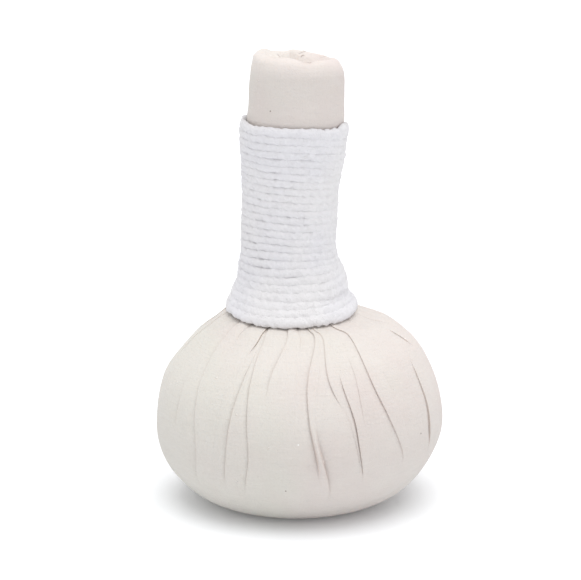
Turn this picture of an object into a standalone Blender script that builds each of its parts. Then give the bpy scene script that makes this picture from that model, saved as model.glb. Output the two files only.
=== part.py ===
"""Herbal compress ball: a square of calico gathered round chopped dried herbs, tied at the neck,
with its corners rolled into a handle that one long cotton cord binds from the shoulder upwards.

Every piece is first shaped upright round the Z axis. settle() then gives all of them the same
hand-tied posture, so neighbours keep their gaps. Metres, +Z up, origin at the centre of the base.
"""

import math

import bmesh
import bpy
from mathutils import Matrix, Vector

MM = 0.001
GAP = 0.35 * MM

# The ball: widest part, how it bellies out above the flat base, how it domes towards the neck.
BALL_RADIUS = 48.2 * MM
BASE_RADIUS = 22.0 * MM
WIDEST_HEIGHT = 26.5 * MM
DOME_HEIGHT = 42.3 * MM
BELLY_POWER = 1.7
DOME_POWER = 2.2
CLOTH_WALL = 1.0 * MM
SHOULDER_RADIUS = 21.0 * MM
NECK_HOLE_RADIUS = 11.2 * MM
NECK_LIP_HEIGHT = 66.8 * MM

# The neck: the cloth bunched into flutes, and the short string that chokes it.
NECK_RADIUS = 10.2 * MM
NECK_BOTTOM = 62.6 * MM
NECK_TOP = 79.5 * MM
NECK_FLUTES = 11
FLUTE_DEPTH = 0.5 * MM
TIE_DIAMETER = 1.8 * MM
TIE_RADIUS = 11.6 * MM
TIE_BOTTOM = 70.0 * MM
TIE_TURNS = 3

# The handle: a rolled core, two folded pads round it, and the outer corner wrapped over all.
HANDLE_BOTTOM = 80.2 * MM
CORE_TOP = 140.5 * MM
CORE_BORE_RADIUS = 1.5 * MM
CORE_PITCH = 1.4 * MM
CORE_TURNS = 3.25
CORE_CLOTH = 0.9 * MM
FOLD_RADIUS = 8.4 * MM
FOLD_WALL = 2.5 * MM
FOLD_TOP = 139.0 * MM
FOLD_SWEEP = math.radians(166)
WRAP_SKIRT_INNER = 13.3 * MM
WRAP_INNER_RADIUS = 10.2 * MM
WRAP_SKIRT_BOTTOM = 69.4 * MM
WRAP_SKIRT_TOP = 77.0 * MM
WRAP_EXPOSED = 129.1 * MM
WRAP_TOP = 149.2 * MM
RIM_RADIUS = 2.4 * MM
TUCK_RADIUS = 5.6 * MM
TUCK_CENTRE = Vector((-0.8, 2.2, 148.0)) * MM
TUCK_HEIGHT_SHARE = 0.55

# The binding cord, wound once from the shoulder to the top of the grip, each turn against the last.
CORD_DIAMETER = 2.38 * MM
# Where the middle of the cord runs, as radius and height in mm: shoulder, waist, then top turn.
CORD_ROUTE = (
    (20.8, 66.3),
    (20.2, 67.8),
    (18.8, 69.8),
    (18.0, 72.5),
    (17.0, 75.7),
    (15.9, 79.8),
    (15.0, 83.0),
    (14.6, 87.0),
    (14.6, 99.0),
    (14.8, 106.0),
    (15.4, 112.0),
    (16.2, 119.0),
    (16.6, 125.0),
    (16.6, 127.5),
)
WRAP_CLEARANCE = 1.75 * MM

# The herbs: a fine chopped mass with the coarse pieces together in its heart.
HEART_RADIUS = 17.0 * MM
HEART_FLOOR = 13.0 * MM
HEART_MOUTH = 61.2 * MM
STEM_RADIUS = 2.6 * MM
STEM_LENGTH = 17.0 * MM
STEM_RING = 6.6 * MM
STEM_COUNT = 6
PEEL_RADIUS = 13.2 * MM
PEEL_WALL = 1.6 * MM
PEEL_HEIGHT = 15.0 * MM
PEEL_COUNT = 3
PEEL_SWEEP = math.radians(96)
SLICE_RADIUS = 12.6 * MM
SLICE_THICKNESS = 3.2 * MM
SLICE_STEP = 3.7 * MM
SLICE_BOTTOM = 31.2 * MM
SLICE_PAIRS = 3
LUMP_RADIUS = 3.7 * MM
LUMP_RING = 6.4 * MM
LUMP_HEIGHT = 57.6 * MM
LUMP_COUNT = 3

ROUND_STEPS = 40
SHARP_ANGLE = math.radians(40)

# The posture that hand tying leaves: (height mm, sideways shift mm), and the slope of each level
# along X and along Y. The slope along Y is the neck's, and dies out across the bag's shoulder.
SHIFT_X = (
    (0, -1.2), (12, -0.9), (27, 0.0), (50, -0.3), (60, -0.8), (67, -2.7), (76, -2.9), (83, -3.7),
    (88, -3.8), (104, -3.2), (120, -2.3), (134, -1.1), (150, -0.7),
)
SLOPE_X = ((42, 0.0), (54, 0.038), (61, 0.032), (66, 0.02), (76, 0.035), (88, -0.02), (100, -0.045), (128, -0.035), (150, -0.085))
SLOPE_Y = ((48, 0.0), (64, 0.11), (78, 0.03), (90, -0.03), (105, -0.045), (128, -0.02), (138, 0.0), (150, 0.0))
SLOPE_REACH = ((20, 1.0), (28, 0.0))

CALICO = ("calico", (0.80, 0.75, 0.68), 0.95)
COTTON_CORD = ("cotton_cord", (0.90, 0.90, 0.91), 0.9)
CHOPPED_HERB = ("chopped_herb", (0.33, 0.27, 0.13), 1.0)
STEM_STRAW = ("lemongrass_straw", (0.62, 0.58, 0.33), 0.85)
PEEL_GREEN = ("dried_lime_peel", (0.20, 0.24, 0.08), 0.7)
TURMERIC = ("turmeric", (0.78, 0.42, 0.05), 0.85)
GINGER = ("cassumunar_ginger", (0.72, 0.58, 0.28), 0.85)
CAMPHOR = ("camphor", (0.93, 0.94, 0.93), 0.35)


def start_scene():
    """Clears the scene and returns the collection that holds the object."""
    for old in list(bpy.data.objects):
        bpy.data.objects.remove(old, do_unlink=True)
    collection = bpy.data.collections.new("herbal_compress_ball")
    bpy.context.scene.collection.children.link(collection)
    return collection


def painted(paint):
    """The material of this name, made the first time it is asked for."""
    name, colour, roughness = paint
    found = bpy.data.materials.get(name)
    if found:
        return found
    made = bpy.data.materials.new(name)
    made.use_nodes = True
    shader = made.node_tree.nodes["Principled BSDF"]
    shader.inputs["Base Color"].default_value = (*colour, 1.0)
    shader.inputs["Roughness"].default_value = roughness
    shader.inputs["Metallic"].default_value = 0.0
    return made


def eased(stations, height):
    """A smooth curve through (height or radius in mm, value) stations, level past both ends."""
    z = height / MM
    if z <= stations[0][0]:
        return stations[0][1]
    for (z0, v0), (z1, v1) in zip(stations, stations[1:]):
        if z <= z1:
            t = (z - z0) / (z1 - z0)
            return v0 + (v1 - v0) * t * t * (3 - 2 * t)
    return stations[-1][1]


def settled(point):
    """Where hand tying leaves a point of the upright object."""
    x, y, z = point
    shift = eased(SHIFT_X, z) * MM
    rise = eased(SLOPE_X, z) * x + eased(SLOPE_Y, z) * y * eased(SLOPE_REACH, math.hypot(x, y))
    return Vector((x + shift, y, z + rise))


def settle(obj, paint):
    """Applies the modifiers, moves every vertex into the hand-tied posture, and paints the piece."""
    graph = bpy.context.evaluated_depsgraph_get()
    mesh = bpy.data.meshes.new_from_object(obj.evaluated_get(graph))
    obj.modifiers.clear()
    obj.data = mesh
    for vertex in mesh.vertices:
        vertex.co = settled(vertex.co)
    mesh.name = obj.name
    mesh.materials.clear()
    mesh.materials.append(painted(paint))
    mesh.shade_smooth()
    mesh.set_sharp_from_angle(angle=SHARP_ANGLE)
    return obj


def turned(collection, name, profile, paint, steps=ROUND_STEPS, sweep=math.tau, start=0.0, ring=False, wall=0.0):
    """A profile of (radius, height) points turned about Z. wall thickens an open surface inwards."""
    mesh = bpy.data.meshes.new(name)
    points = [(r * math.cos(start), r * math.sin(start), z) for r, z in profile]
    edges = [(i, i + 1) for i in range(len(profile) - 1)]
    if ring:
        edges.append((len(profile) - 1, 0))
    mesh.from_pydata(points, edges, [])
    obj = bpy.data.objects.new(name, mesh)
    collection.objects.link(obj)
    screw = obj.modifiers.new("Turn", "SCREW")
    screw.axis = "Z"
    screw.angle = sweep
    screw.steps = screw.render_steps = steps
    screw.use_merge_vertices = sweep == math.tau
    screw.merge_threshold = 0.00001
    if wall:
        shell = obj.modifiers.new("Wall", "SOLIDIFY")
        shell.thickness = wall
        shell.offset = -1.0
    return settle(obj, paint)


def from_bmesh(collection, name, shape, paint):
    mesh = bpy.data.meshes.new(name)
    shape.to_mesh(mesh)
    shape.free()
    obj = bpy.data.objects.new(name, mesh)
    collection.objects.link(obj)
    return settle(obj, paint)


def wound(collection, name, route, diameter, paint):
    """The solid that a close winding fills: a ring of one cord's thickness, turned along the route
    of (radius, height) points that the middle of the cord climbs."""
    points = [Vector(point) for point in route]
    sides = []
    for i, point in enumerate(points):
        along = points[min(i + 1, len(points) - 1)] - points[max(i - 1, 0)]
        sides.append(Vector((along.y, -along.x)).normalized() * diameter / 2)
    start = points[0] - (points[1] - points[0]).normalized() * diameter / 2
    end = points[-1] + (points[-1] - points[-2]).normalized() * diameter / 2
    outer = [point + side for point, side in zip(points, sides)]
    inner = [point - side for point, side in zip(points, sides)]
    outline = [end] + outer[::-1] + [start] + inner
    return turned(collection, name, [tuple(point) for point in outline], paint, ring=True)


def ball_outline(inset=0.0, belly_points=10, dome_points=12):
    """(radius, height) points of the ball from the shoulder down to the rim of its flat base."""
    radius = BALL_RADIUS - inset
    dome = DOME_HEIGHT - inset
    base = BASE_RADIUS - 0.3 * inset
    belly = WIDEST_HEIGHT - inset
    last = dome * (1 - (SHOULDER_RADIUS / radius) ** 2) ** (1 / DOME_POWER)
    points = []
    for i in range(dome_points):
        rise = last * math.sin(math.pi / 2 * (1 - i / dome_points))
        points.append((radius * math.sqrt(1 - (rise / dome) ** DOME_POWER), WIDEST_HEIGHT + rise))
    for i in range(belly_points + 1):
        drop = math.sin(math.pi / 2 * i / belly_points)
        points.append((base + (radius - base) * math.sqrt(1 - drop**BELLY_POWER), WIDEST_HEIGHT - belly * drop))
    return points


def pouch(collection):
    """The calico bag: a thin shell that narrows over the shoulder to the hole the neck leaves by."""
    lip = [(NECK_HOLE_RADIUS, NECK_LIP_HEIGHT), (0.5 * (NECK_HOLE_RADIUS + SHOULDER_RADIUS), NECK_LIP_HEIGHT - 0.5 * MM)]
    outline = lip + ball_outline() + [(0.0, 0.0)]
    return turned(collection, "pouch_cloth", outline, CALICO, wall=CLOTH_WALL)


def filling(collection):
    """The fine chopped herbs, filling the bag round a well for the coarse pieces."""
    inset = CLOTH_WALL + GAP
    side = [point for point in ball_outline(inset, 8, 10) if point[1] < HEART_MOUTH]
    well = [(0.0, HEART_FLOOR), (HEART_RADIUS, HEART_FLOOR), (HEART_RADIUS, HEART_MOUTH)]
    outline = well + side + [(0.0, side[-1][1])]
    return turned(collection, "herb_filling", outline, CHOPPED_HERB)


def lemongrass(collection):
    """Short cut stems standing in the bottom of the heart, one in the middle and a ring round it."""
    places = [Vector((0.0, 0.0, 0.0))]
    for i in range(STEM_COUNT):
        turn = math.tau * i / STEM_COUNT
        places.append(Vector((math.cos(turn), math.sin(turn), 0.0)) * STEM_RING)
    height = HEART_FLOOR + GAP + STEM_LENGTH / 2
    for number, place in enumerate(places, 1):
        stem = bmesh.new()
        bmesh.ops.create_cone(
            stem,
            cap_ends=True,
            segments=10,
            radius1=STEM_RADIUS,
            radius2=STEM_RADIUS * 0.86,
            depth=STEM_LENGTH,
            matrix=Matrix.Translation(place + Vector((0, 0, height))),
        )
        from_bmesh(collection, f"lemongrass_stem_{number}", stem, STEM_STRAW)


def lime_peel(collection):
    """Curled strips of dried peel that line the bottom of the heart."""
    foot = HEART_FLOOR + GAP
    side = [(PEEL_RADIUS, foot + PEEL_HEIGHT), (PEEL_RADIUS * 1.04, foot + PEEL_HEIGHT / 2), (PEEL_RADIUS, foot)]
    for i in range(PEEL_COUNT):
        start = math.tau * i / PEEL_COUNT
        turned(
            collection,
            f"lime_peel_{i + 1}",
            side,
            PEEL_GREEN,
            steps=8,
            sweep=PEEL_SWEEP,
            start=start,
            wall=PEEL_WALL,
        )


def rhizome_slices(collection):
    """Dried slices, stacked turmeric and ginger by turns, each a little out of round."""
    for i in range(2 * SLICE_PAIRS):
        piece = bmesh.new()
        middle = SLICE_BOTTOM + i * SLICE_STEP + SLICE_THICKNESS / 2
        bmesh.ops.create_cone(
            piece,
            cap_ends=True,
            segments=20,
            radius1=SLICE_RADIUS,
            radius2=SLICE_RADIUS * 0.97,
            depth=SLICE_THICKNESS,
            matrix=Matrix.Translation((0, 0, middle)),
        )
        for vertex in piece.verts:
            turn = math.atan2(vertex.co.y, vertex.co.x)
            share = 1 + 0.07 * math.cos(2 * turn + i) + 0.03 * math.cos(5 * turn + 2 * i)
            vertex.co.x *= share
            vertex.co.y *= share
        kind, paint = ("turmeric", TURMERIC) if i % 2 == 0 else ("ginger", GINGER)
        from_bmesh(collection, f"{kind}_slice_{i // 2 + 1}", piece, paint)


def camphor_lumps(collection):
    """Three lumps of camphor on top of the slices, just under the neck."""
    for i in range(LUMP_COUNT):
        turn = math.tau * (i + 0.25) / LUMP_COUNT
        place = Vector((LUMP_RING * math.cos(turn), LUMP_RING * math.sin(turn), LUMP_HEIGHT))
        lump = bmesh.new()
        bmesh.ops.create_icosphere(lump, subdivisions=2, radius=LUMP_RADIUS)
        for vertex in lump.verts:
            bulge = 1 + 0.08 * math.sin(9 * vertex.co.x / LUMP_RADIUS + i) * math.cos(7 * vertex.co.z / LUMP_RADIUS)
            vertex.co = vertex.co * min(bulge, 1.0) + place
        from_bmesh(collection, f"camphor_lump_{i + 1}", lump, CAMPHOR)


def neck_gather(collection):
    """The bunched cloth that leaves the bag, fluted by its gathers and waisted under the tie."""
    outline = [
        (0.0, NECK_TOP),
        (NECK_RADIUS * 0.96, NECK_TOP),
        (NECK_RADIUS, NECK_TOP - 1.5 * MM),
        (NECK_RADIUS * 0.95, TIE_BOTTOM + TIE_DIAMETER),
        (NECK_RADIUS, TIE_BOTTOM - 2.0 * MM),
        (NECK_RADIUS * 0.97, NECK_BOTTOM),
        (0.0, NECK_BOTTOM),
    ]
    steps = 4 * NECK_FLUTES
    obj = turned(collection, "neck_gather", outline, CALICO, steps=steps)
    for vertex in obj.data.vertices:
        x, y, z = vertex.co
        shift = eased(SHIFT_X, z) * MM
        reach = math.hypot(x - shift, y)
        if reach > NECK_RADIUS / 2:
            fold = FLUTE_DEPTH * (1 - math.cos(NECK_FLUTES * math.atan2(y, x - shift))) / 2
            vertex.co.x = shift + (x - shift) * (1 - fold / reach)
            vertex.co.y = y * (1 - fold / reach)
    return obj


def neck_tie(collection):
    """Three tight turns of thin string that close the bag before the handle is made."""
    rise = TIE_DIAMETER * (TIE_TURNS - 1)
    route = [(TIE_RADIUS, TIE_BOTTOM + rise * share) for share in (0.0, 0.5, 1.0)]
    return wound(collection, "neck_tie", route, TIE_DIAMETER, COTTON_CORD)


def core_roll(collection):
    """One corner of the cloth rolled up on itself: the stiff core of the handle."""
    levels = 7
    points_per_turn = 14
    count = round(CORE_TURNS * points_per_turn) + 1
    roll = bmesh.new()
    rows = []
    for level in range(levels):
        z = HANDLE_BOTTOM + (CORE_TOP - HANDLE_BOTTOM) * level / (levels - 1)
        row = []
        for i in range(count):
            turns = i / points_per_turn
            radius = CORE_BORE_RADIUS + CORE_PITCH * turns
            angle = math.tau * turns
            row.append(roll.verts.new((radius * math.cos(angle), radius * math.sin(angle), z)))
        rows.append(row)
    for low, high in zip(rows, rows[1:]):
        for i in range(count - 1):
            roll.faces.new((low[i], low[i + 1], high[i + 1], high[i]))
    mesh = bpy.data.meshes.new("corner_core_roll")
    roll.to_mesh(mesh)
    roll.free()
    obj = bpy.data.objects.new("corner_core_roll", mesh)
    collection.objects.link(obj)
    shell = obj.modifiers.new("Wall", "SOLIDIFY")
    shell.thickness = CORE_CLOTH
    shell.offset = 0.0
    return settle(obj, CALICO)


def corner_folds(collection):
    """Two corners folded down to pads that flank the core."""
    outer = FOLD_RADIUS + FOLD_WALL / 2
    levels = 7
    side = []
    for level in range(levels):
        side.append((outer, FOLD_TOP + (HANDLE_BOTTOM - FOLD_TOP) * level / (levels - 1)))
    gap = (math.pi - FOLD_SWEEP) / 2
    for name, middle in (("corner_fold_left", math.pi), ("corner_fold_right", 0.0)):
        start = middle - math.pi / 2 + gap
        turned(collection, name, side, CALICO, steps=14, sweep=FOLD_SWEEP, start=start, wall=FOLD_WALL)


def cord_radius_at(height):
    """The radius of the cord's middle line at a height of the handle."""
    return eased([(z, r) for r, z in CORD_ROUTE], height) * MM


def corner_wrap(collection):
    """The last corner, wrapped over everything: a tube that flares over the shoulder, is squeezed
    by the cord, swells above it and turns in at the top."""
    outer = [(cord_radius_at(WRAP_SKIRT_BOTTOM) - WRAP_CLEARANCE, WRAP_SKIRT_BOTTOM)]
    for height in (72, 76, 80, 84, 90, 98, 106, 112, 119, 125):
        outer.append((cord_radius_at(height * MM) - WRAP_CLEARANCE, height * MM))
    outer.append((cord_radius_at(WRAP_EXPOSED) - WRAP_CLEARANCE, WRAP_EXPOSED - 0.6 * MM))
    swell = cord_radius_at(WRAP_EXPOSED) - 0.35 * MM
    outer += [(swell, WRAP_EXPOSED + 1.4 * MM), (swell - 0.3 * MM, 136.0 * MM), (swell - 0.8 * MM, WRAP_TOP - RIM_RADIUS)]
    rim_middle = swell - 0.8 * MM - RIM_RADIUS
    rim = []
    for i in range(1, 6):
        angle = math.pi * i / 6
        rim.append((rim_middle + RIM_RADIUS * math.cos(angle), WRAP_TOP - RIM_RADIUS + RIM_RADIUS * math.sin(angle)))
    inner = [
        (WRAP_INNER_RADIUS, WRAP_TOP - 2.2 * RIM_RADIUS),
        (WRAP_INNER_RADIUS, 126.0 * MM),
        (WRAP_INNER_RADIUS, 112.0 * MM),
        (WRAP_INNER_RADIUS, 98.0 * MM),
        (WRAP_INNER_RADIUS, 86.0 * MM),
        (NECK_RADIUS + 0.6 * MM, HANDLE_BOTTOM - 0.4 * MM),
        (WRAP_SKIRT_INNER, WRAP_SKIRT_TOP),
        (WRAP_SKIRT_INNER, WRAP_SKIRT_BOTTOM),
    ]
    outline = list(reversed(inner)) + list(reversed(rim)) + list(reversed(outer))
    return turned(collection, "corner_wrap", outline, CALICO, ring=True)


def tucked_tip(collection):
    """The free tip of the wrap, pushed down into the top of the roll as a soft lump."""
    tip = bmesh.new()
    bmesh.ops.create_uvsphere(tip, u_segments=18, v_segments=9, radius=TUCK_RADIUS)
    for vertex in tip.verts:
        turn = math.atan2(vertex.co.y, vertex.co.x)
        vertex.co.x *= 1 + 0.10 * math.cos(2 * turn)
        vertex.co.y *= 0.92 + 0.06 * math.cos(3 * turn)
        vertex.co.z *= TUCK_HEIGHT_SHARE
        vertex.co += TUCK_CENTRE
    return from_bmesh(collection, "tucked_tip", tip, CALICO)


def binding_cord(collection):
    """The one long cord, wound over the shoulder of the bag and up the handle."""
    route = [(r * MM, z * MM) for r, z in CORD_ROUTE]
    return wound(collection, "binding_cord", route, CORD_DIAMETER, COTTON_CORD)


def main():
    collection = start_scene()
    pouch(collection)
    filling(collection)
    lemongrass(collection)
    lime_peel(collection)
    rhizome_slices(collection)
    camphor_lumps(collection)
    neck_gather(collection)
    neck_tie(collection)
    core_roll(collection)
    corner_folds(collection)
    corner_wrap(collection)
    tucked_tip(collection)
    binding_cord(collection)


main()
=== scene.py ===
"""Herbal compress ball: a calico bag of dried herbs, gathered and tied at the neck, with its corners
rolled into a handle that one long soft cotton cord binds. Lengths are in metres, +Z is up, and the
front of the ball is towards -Y. Azimuths are in degrees from the front, growing towards +X."""

import math
import random

import bpy
import numpy as np
from bpy.props import FloatProperty, FloatVectorProperty, IntProperty, PointerProperty
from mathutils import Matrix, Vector, noise


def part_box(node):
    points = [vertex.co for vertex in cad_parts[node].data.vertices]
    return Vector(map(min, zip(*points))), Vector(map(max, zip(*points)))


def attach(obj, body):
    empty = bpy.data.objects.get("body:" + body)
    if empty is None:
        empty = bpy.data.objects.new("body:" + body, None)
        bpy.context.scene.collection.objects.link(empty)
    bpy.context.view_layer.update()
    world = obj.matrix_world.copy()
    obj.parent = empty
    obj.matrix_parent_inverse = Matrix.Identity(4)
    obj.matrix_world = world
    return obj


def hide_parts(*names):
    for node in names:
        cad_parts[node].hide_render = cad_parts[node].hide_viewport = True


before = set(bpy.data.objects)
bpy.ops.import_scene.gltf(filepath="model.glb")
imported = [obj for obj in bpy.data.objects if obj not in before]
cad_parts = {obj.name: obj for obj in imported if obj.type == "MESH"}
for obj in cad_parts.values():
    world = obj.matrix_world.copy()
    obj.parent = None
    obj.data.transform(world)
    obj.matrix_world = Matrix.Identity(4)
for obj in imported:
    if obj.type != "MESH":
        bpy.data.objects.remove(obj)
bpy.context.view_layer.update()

bl_info = {
    "name": "Herbal Compress Ball",
    "version": (1, 0, 0),
    "blender": (4, 5, 0),
    "location": "View3D > Sidebar > Compress Ball",
    "description": "Builds a hand-tied herbal compress ball from its cloth, cords and herbs",
    "category": "Object",
}

MM = 0.001

# The posture that hand tying leaves, the same as the solids have, as (height in mm, value) rows: how
# far in mm each height is shifted along X, and how steeply its level slopes along X and along Y. The
# slope along Y is the neck's, and SLOPE_REACH is the share of it that each radius in mm has, because
# it dies out across the bag's shoulder.
SHIFT_X = (
    (0, -1.2), (12, -0.9), (27, 0.0), (50, -0.3), (60, -0.8), (67, -2.7), (76, -2.9), (83, -3.7),
    (88, -3.8), (104, -3.2), (120, -2.3), (134, -1.1), (150, -0.7),
)
SLOPE_X = (
    (42, 0.0), (54, 0.038), (61, 0.032), (66, 0.02), (76, 0.035), (88, -0.02), (100, -0.045),
    (128, -0.035), (150, -0.085),
)
SLOPE_Y = (
    (48, 0.0), (64, 0.11), (78, 0.03), (90, -0.03), (105, -0.045), (128, -0.02), (138, 0.0), (150, 0.0),
)
SLOPE_REACH = ((20, 1.0), (28, 0.0))

# The bag's outline: flat base, belly, dome, then the shoulder that runs in under the cord. The rows
# of the base and of the shoulder are (radius, height) in mm, and each curve is drawn through
# CURVE_POINTS.
BASE_ROWS = ((4.0, 0.0), (12.0, 0.0))
BASE_RADIUS = 22.0 * MM
WIDEST_HEIGHT = 26.5 * MM
DOME_HEIGHT = 42.3 * MM
BELLY_POWER = 1.7
DOME_POWER = 2.2
SHOULDER_RADIUS = 21.0 * MM
SHOULDER_ENDS = ((16.1, 66.3), (11.4, 66.8), (10.9, 65.6), (10.9, 62.4))
CURVE_POINTS = 200
# The cloth's mesh: the step between its rows, and how many columns of faces each pleat has.
ROW_STEP = 0.62 * MM
COLUMNS_PER_PLEAT = 18

# How the cloth lies at a crease, with lengths in mm. The lip is a swell that falls away slowly on its
# own side and sharply over the groove, and the dip lies past it. Their rises and leans are shares of
# the crease's depth. The groove is where the cloth is drawn darker: its middle and its width.
LIP_REACH = (2.0, 0.1)
DIP_REACH = (0.22, 2.3)
LIP_RISE, DIP_RISE = 0.34, 0.72
LIP_LEAN, DIP_LEAN = 0.55, 0.2
GROOVE = (0.1, 0.26)
# Between which shares of the widest radius the creases die out towards a pole.
POLE_FADE = (0.15, 0.35)

# Pleats at the front, from left to right: the heights in mm where the crease starts and ends, its
# azimuths at PLEAT_LEVELS, its depths in mm where it starts, halfway and where it ends, and the
# side that its lip falls to.
PLEAT_LEVELS = (65, 52, 39, 26, 13)
FRONT_PLEATS = (
    (66, 46, (-87, -85, -84, -83, -82), (0.2, 0.2, 0.1), 1),
    (66, 57, (-73, -75.5, -77, -77, -77), (0.3, 0.2, 0.1), -1),
    (49, 38, (-69, -73.8, -72, -70, -69), (0.15, 0.4, 0.2), -1),
    (48, 28, (-64, -60, -56.4, -57.5, -59), (0.2, 0.85, 0.3), -1),
    (66, 10, (-52, -48.4, -44.8, -42.8, -45.0), (0.75, 0.8, 0.7), -1),
    (66, 57, (-42, -40, -39, -38, -38), (0.3, 0.2, 0.1), 1),
    (66, 56, (-24.1, -30.5, -34, -35, -36), (0.5, 0.6, 0.25), 1),
    (57, 12, (-22.5, -25.1, -27.0, -28.7, -30.0), (0.25, 0.95, 0.45), -1),
    (66, 11, (-20.2, -21.3, -20.1, -19.3, -21.6), (0.6, 0.8, 0.4), -1),
    (66, 44, (-3.6, -12.4, -13.6, -14.5, -15.5), (0.35, 0.6, 0.6), -1),
    (66, 58, (3, -1, -2, -3, -4), (0.35, 0.25, 0.1), 1),
    (66, 19, (14.5, 5.0, 4.5, 7.0, 9.0), (0.35, 0.7, 1.1), -1),
    (40, 10, (15.4, 9.6, 6.3, 8.6, 13.4), (0.2, 1.0, 0.5), 1),
    (66, 41, (18.7, 13.8, 19.5, 23, 26), (0.2, 0.45, 0.9), -1),
    (53, 16, (21, 19.2, 22.6, 24.4, 28.4), (0.4, 0.95, 0.4), -1),
    (58, 34, (27.5, 26.6, 26.3, 28, 32), (0.15, 0.25, 0.2), -1),
    (66, 19, (37.2, 33.5, 37.6, 43.7, 47.5), (0.35, 0.6, 0.3), -1),
    (51, 42, (43, 40.6, 44.5, 48, 52), (0.2, 0.35, 0.15), 1),
    (66, 60, (57, 55.5, 56, 57, 57), (0.3, 0.25, 0.1), 1),
    (52, 22, (61, 63.4, 63.4, 61.9, 61), (0.35, 0.7, 1.0), -1),
    (60, 52, (67, 77, 76, 75, 75), (0.3, 0.4, 0.25), -1),
    (66, 58, (82, 82, 82, 82, 82), (0.2, 0.15, 0.1), -1),
)
# The back's pleats: the azimuths that they fill, and how many they are.
BACK_SPAN = (89.0, 263.0)
BACK_PLEATS = 17
# Heights in mm: where the neck is, and from where up a pleat that reaches it keeps its depth.
NECK_LEVEL = 66
HELD_LEVEL = 62
# How far in mm a pleat takes to fade out at its foot, the most of its length that this may be, how
# much of that its head takes, and what the head of one that reaches the neck takes.
PLEAT_FADE = 9.0
LONGEST_FADE = 0.4
HEAD_FADE = 0.6
NECK_FADE = 3.5
# The soft lumps that the herbs push up: sizes of the broad and the small ones, and the share that
# the small ones have. They die out between these heights above the floor and below the neck.
LUMP_SIZES = (21 * MM, 9 * MM)
SMALL_LUMPS = 0.35
LUMP_FOOT = 8 * MM
LUMP_TOP = (58 * MM, 64 * MM)
# The collar presses the shoulder down at the right: how far, the radius and the reach in mm of the
# ring that it presses, and the heights over which the press begins.
SHOULDER_PRESS = 2.0 * MM
PRESS_RING = (24.5, 4.5)
PRESS_HEIGHTS = (55 * MM, 60 * MM)

# Where the middle of the binding cord runs, as radius and height in mm, from its first turn on the
# shoulder to its last.
CORD_ROUTE = (
    (20.8, 66.3), (20.2, 67.8), (18.8, 69.8), (18.0, 72.5), (17.0, 75.7), (15.9, 79.8), (15.0, 83.0),
    (14.6, 87.0), (14.6, 99.0), (14.8, 106.0), (15.4, 112.0), (16.2, 119.0), (16.6, 125.0),
    (16.6, 127.5),
)
# The last turn: the azimuth where it ends, and how far it is pulled down over how many degrees.
CORD_END_AZIMUTH = 56.0
CORD_END_DROP = 1.3 * MM
CORD_END_SWEEP = 130
# The cord's mesh: the mean length of a turn, the step between its rings, the sides of a ring, and
# the length of a rounded end in diameters.
MEAN_GIRTH = 2 * math.pi * 16 * MM
CORD_RING_STEP = 0.52 * MM
CORD_SIDES = 13
CORD_TIP = 1.5
# The cord's section where it is wound: its width and its thickness against a round cord's, and how
# far it stands out of its route.
CORD_SPREAD = 1.29
CORD_SQUEEZE = 0.96
CORD_SET_OUT = 0.12 * MM
# The turns lie open at this azimuth and opposite it, fully so from this far above the collar. Between
# the two azimuths and on the collar they are closed, and the cord is wider by this share.
CORD_OPEN_AZIMUTH = -18.0
OPEN_RISE = 9 * MM
CLOSED_SPREAD = 0.35
# The collar, the wide turns on the shoulder: its height, and how it leans, at the left and then at
# the right, as (amount, height, reach). Above it is the flare, whose height and reach are given and
# where the cord is wider by this share.
COLLAR_HEIGHT = 70.5 * MM
COLLAR_LEAN = ((0.8 * MM, 70.5 * MM, 2.6 * MM), (1.2 * MM, 70.3 * MM, 2.4 * MM))
FLARE = (78.0 * MM, 5 * MM)
FLARE_SPREAD = 0.16
# How many rings on each side the cord's outward direction is evened over.
EVENED_RINGS = 200

# The handle's outer wrap, in mm: how far it stays inside the middle of the cord, the height of its
# hidden lower edge, its side above the binding as (radius, height), and the soft rim and the dish of
# its top. Then how its hidden part stops short of its side and its rim starts (in radians), with the
# points of each, its mesh, and how its folds fade and the cloth between them swells.
WRAP_INSET = 1.75
WRAP_SKIRT = 69.4
WRAP_SIDE = (
    (15.6, 126.6), (15.9, 128.2), (15.95, 130.0), (15.8, 132.5), (15.55, 138.0), (15.2, 143.4),
)
WRAP_TOP = 149.2
RIM_WIDTH = 4.2
DISH_POINTS = ((9.4, 148.4), (7.4, 147.2), (5.0, 146.5), (2.6, 146.3), (0.5, 146.2))
SKIRT_GAP, SKIRT_POINTS = 2.0, 40
RIM_START, RIM_POINTS = 0.06, 16
WRAP_STEP = 0.45 * MM
COLUMNS_PER_FOLD = 28
WRAP_FADES = (3.0, 3.0)
WRAP_PUFF = 0.5
# Folds of the wrap, as the (mm along the cloth from the top of its rim, azimuth) points that each
# runs through, where it starts and ends, its depths in mm, and the side it falls to. The first is
# the free edge of the wrap.
WRAP_FOLDS = (
    (((-100, -55), (-20, -55), (-6, -54), (0, -50), (12, 10)), -100, 10, (0.02, 0.02, 0.08), 1),
    (((-100, -22), (-3, -22), (0, -18), (12, 44)), 3, 11, (0.25, 0.4), -1),
    (((-100, 12), (-14, 9), (0, 16), (12, 82)), 1, 11, (0.25, 0.4), 1),
    (((-100, 44), (-5, 42), (0, 48), (12, 116)), 2, 11, (0.2, 0.35), 1),
    (((-100, 84), (-10, 80), (0, 86), (12, 156)), 2, 11, (0.2, 0.3), -1),
    (((-100, 120), (-6, 118), (0, 128), (12, 196)), -2, 11, (0.4, 0.5), 1),
    (((-100, 165), (-12, 162), (0, 170), (12, 236)), -9, 10, (0.3, 0.3), 1),
    (((-100, 205), (-4, 203), (0, 212), (12, 276)), -1, 11, (0.4, 0.5), -1),
    (((-100, 250), (-8, 250), (0, 256), (12, 290)), -2, 11, (0.1, 0.15), 1),
)
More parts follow.
